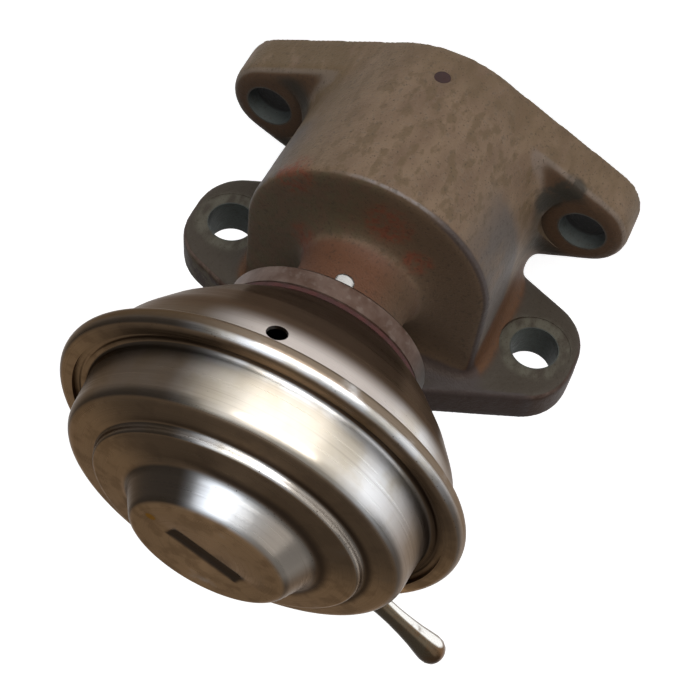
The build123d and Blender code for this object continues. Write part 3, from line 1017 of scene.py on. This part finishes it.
def bent(corners, steps):
    # the line through the corners with a smooth bend at each
    line = [corners[0][:2]]
    for before, corner, after in zip(corners, corners[1:], corners[2:]):
        place = Vector(corner[:2])
        start = place + (Vector(before[:2]) - place).normalized() * corner[2]
        end = place + (Vector(after[:2]) - place).normalized() * corner[2]
        for step in range(steps + 1):
            share = step / steps
            line.append(tuple(start.lerp(place, share).lerp(place.lerp(end, share), share)))
    line.append(corners[-1][:2])
    return line


def makeDome(material):
    # the upper shell, with softer bends than the solid and a shallow slot pressed into its cap
    s = domeShape
    outside = bent(s["corners"], s["bendSteps"])
    inside = bent(insideCorners(s["corners"], s["sheet"]), s["bendSteps"])
    shell = lathe("domeShell", list(reversed(inside)) + outside, (0, 0, 0), (0, 0, 1), s["turnSteps"])
    top = s["corners"][-1][1]
    slot = lathe("slot", s["slotSides"], (0, 0, top), (0, 0, 1), s["cutterSides"])
    along = Matrix.Rotation(math.radians(s["slotBearing"]), 3, "Z")
    for vertex in slot.vertices:
        side = math.copysign(s["slotHalfLength"] / 1000, vertex.co.x)
        vertex.co = along @ (vertex.co + Vector((side, 0, 0)))
    bearing, height, radius = s["nippleHole"]
    holeSides = [(radius, reach) for reach in s["holeReach"]]
    hole = lathe("hole", holeSides, (0, 0, height), direction(bearing), s["cutterSides"])
    cutter = newPiece("cutter", joined("cutter", [slot, hole]))
    dome = newPiece("domeShell", shell)
    dome = applied(dome, "BOOLEAN", operation="DIFFERENCE", object=cutter, solver="EXACT")
    bpy.data.objects.remove(cutter)
    finishPiece(dome, material)
    standFor(dome, "upper_shell")


nippleLook = {
    # painted highlight colour, on the side given below
    "clean": (0.80, 0.79, 0.76),
    "steel": (0.125, 0.098, 0.066),
    "tip": (0.120, 0.066, 0.032),
    "tipParts": ((1.0, ("radius", 43.0, 46.5), ("patches", 0.2, 0.5)), (0.6, ("patches", 0.50, 0.70))),
    "patches": (1.8, 5.0, 8.0),             # size in millimetres, detail, seed
    "highlightSide": (-0.42, -0.86, -0.30),     # the side with the painted highlight
    "highlightReach": (0.90, 0.96),
    "highlightBreaks": ("patches", 0.85, 0.60),
    "roughness": (0.20, 0.34),
    "roughSize": 0.7,
    "grain": (0.4, 4.0, 2.0),
    "grainDepth": 0.015,
}

nippleShape = {
    # the stub's outside from the dome's wall to its tip: distance from the valve's axis, radius
    "outline": (
        (28.2, 2.55), (29.0, 2.2), (30.5, 1.85), (33.0, 1.62), (36.0, 1.62), (39.0, 1.78), (41.5, 2.0),
        (43.5, 2.28), (45.0, 2.48), (46.2, 2.42), (47.1, 2.05), (47.6, 1.55), (47.8, 1.15)),
    "bore": (1.1, 28.4, 47.75),             # radius, and from where to where
    "root": (0.1, 27.4),                    # radius and place of the end inside the dome
    "sides": 64,
}


def nippleSteel():
    s = nippleLook
    paint = Paint("nippleSteel")
    tree = paint.tree
    paint.by["patches"] = paint.cloud(*s["patches"])
    paint.colour = mixColour(tree, paint.strongest(s["tipParts"]), s["steel"], s["tip"])
    # a painted highlight band along one side of the stub
    facing = vectorMath(tree, "DOT_PRODUCT", paint.facing, s["highlightSide"])
    paint.coat(s["clean"], between(tree, facing, *s["highlightReach"]), paint.where(s["highlightBreaks"]))
    paint.finish(mixNumber(tree, paint.cloud(s["roughSize"]), *s["roughness"]), 1.0)
    paint.addBump(paint.cloud(*s["grain"]), s["grainDepth"])
    return paint.material


def makeNipple():
    # the stub narrows behind the dome's wall and swells smoothly to its round tip
    s = nippleShape
    bearing, height, holeRadius = domeShape["nippleHole"]
    outside = [(radius, reach) for reach, radius in s["outline"]]
    boreRadius, boreStart, boreEnd = s["bore"]
    rootRadius, rootPlace = s["root"]
    root = [(rootRadius, rootPlace), (holeRadius, rootPlace), (holeRadius, s["outline"][0][0])]
    bore = [(boreRadius, boreEnd), (boreRadius, boreStart)]
    mesh = lathe("nippleStub", [*root, *outside, *bore], (0, 0, height), direction(bearing), s["sides"])
    stub = newPiece("nippleStub", mesh)
    finishPiece(stub, nippleSteel())
    standFor(stub, "vacuum_nipple")


collarLook = {
    "steel": (0.106, 0.072, 0.058),
    "dark": (0.072, 0.043, 0.032),
    "worn": (0.150, 0.115, 0.098),
    "red": (0.120, 0.040, 0.030),
    # painted shade colour, on the collar's side towards bearing 165
    "soot": (0.030, 0.022, 0.016),
    "clouds": {"patches": (3.0, 4.0, 11.0), "small": (0.9, 3.0, 12.0)},
    "darkBreaks": ("patches", 0.42, 0.66),
    "coats": (
        ("worn", 0.5, ("small", 0.50, 0.68)),
        ("red", 1.0, ("z", 52.5, 53.0), ("patches", 0.35, 0.55)),
        # painted shade on the collar's side towards bearing 165
        ("soot", 1.0, ("bearing", 165, 46, 16)),
    ),
    "roughness": (0.42, 0.62),
    "grainDepth": 0.03,
}


def collarSteel():
    # a plain steel ring, mottled with rust, its edge towards the gasket reddened
    s = collarLook
    paint = Paint("collarSteel")
    for name, values in s["clouds"].items():
        paint.by[name] = paint.cloud(*values)
    paint.startWith(s["steel"], s["dark"], s["darkBreaks"])
    paint.coats(s, s["coats"])
    paint.finish(mixNumber(paint.tree, paint.by["small"], *s["roughness"]), 1.0)
    paint.addBump(paint.by["small"], s["grainDepth"])
    return paint.material


# how the plainer parts' finishes vary: the blotches' size and darkness, and the grain's size and depth
machinedSteel = {"blotch": 3.0, "dark": 0.75, "grain": 0.4, "depth": 0.01, "metal": 1.0}
dullStuff = {"blotch": 1.5, "dark": 0.60, "grain": 0.3, "depth": 0.03, "metal": 0.0}

# kind, colour, roughness, and the nodes that wear it
plainFinishes = {
    "plugIron": (dullStuff, (0.022, 0.004, 0.003), 0.8, ("body_plug",)),
    "seatSteel": (machinedSteel, (0.45, 0.43, 0.4), 0.35, ("seat_ring",)),
    "valveSteel": (machinedSteel, (0.4, 0.38, 0.36), 0.35, ("valve_disc", "valve_stem")),
    "guideBronze": (machinedSteel, (0.5, 0.33, 0.16), 0.4, ("stem_guide",)),
    "sealPacking": (dullStuff, (0.05, 0.05, 0.05), 0.8, ("stem_seal",)),
    "zincSteel": (machinedSteel, (0.5, 0.48, 0.42), 0.35, (
        "seal_cup", "diaphragm_plate", "spring_cup", "stem_washer", "stem_nut", "spring_seat")),
    "gasketRed": (dullStuff, (0.045, 0.006, 0.004), 0.8, ("ring_gasket",)),
    "rivetSteel": (machinedSteel, (0.55, 0.54, 0.52), 0.25, ("ring_rivets",)),
    "diaphragmRubber": (dullStuff, (0.03, 0.03, 0.03), 0.6, ("diaphragm",)),
    "springSteel": (machinedSteel, (0.4, 0.4, 0.4), 0.35, ("return_spring",)),
}

plainLook = {
    "blotchDetail": 5.0,
    "blotchEdge": (0.3, 0.7),
    "roughBlotch": (1.0, 3.0),              # size and detail
    "roughRange": (-0.05, 0.1),             # round each finish's own roughness
}


def plainFinish(name, kind, colour, roughness):
    s = plainLook
    paint = Paint(name)
    paint.by["blotches"] = paint.cloud(kind["blotch"], s["blotchDetail"])
    paint.startWith(colour, [part * kind["dark"] for part in colour], ("blotches", *s["blotchEdge"]))
    lowest, highest = (roughness + step for step in s["roughRange"])
    paint.finish(mixNumber(paint.tree, paint.cloud(*s["roughBlotch"]), lowest, highest), kind["metal"])
    paint.addBump(paint.cloud(kind["grain"]), kind["depth"])
    return paint.material


# inner parts that shorten towards their fixed end as the valve unit rises, in metres; here each only gets a
# piece with a mesh of its own, and the lift and fixed ends are not used
flexing = {
    "lift": 0.005,
    "parts": {
        "diaphragmSheet": {"node": "diaphragm", "slot": "diaphragm_rubber", "fixedEnd": 0.0744},
        "returnCoil": {"node": "return_spring", "slot": "spring_steel", "fixedEnd": 0.09005},
    },
}


def makeFlexing():
    for name, s in flexing["parts"].items():
        piece = newPiece(name, nodes[s["node"]].data.copy())
        standFor(piece, s["node"])
        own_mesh(piece)


for finishName, (kind, colour, roughness, nodeNames) in plainFinishes.items():
    dress(plainFinish(finishName, kind, colour, roughness), *nodeNames)
dress(collarSteel(), "mounting_ring")
shellMaterial = pressedSteel()
dress(shellMaterial, "lower_shell", "upper_shell")
makeDome(shellMaterial)
makeNipple()
print("finishes, dome and nipple made")
makeFlexing()
print("inner flexing parts made")

bpy.context.scene.view_settings.view_transform = "Standard"
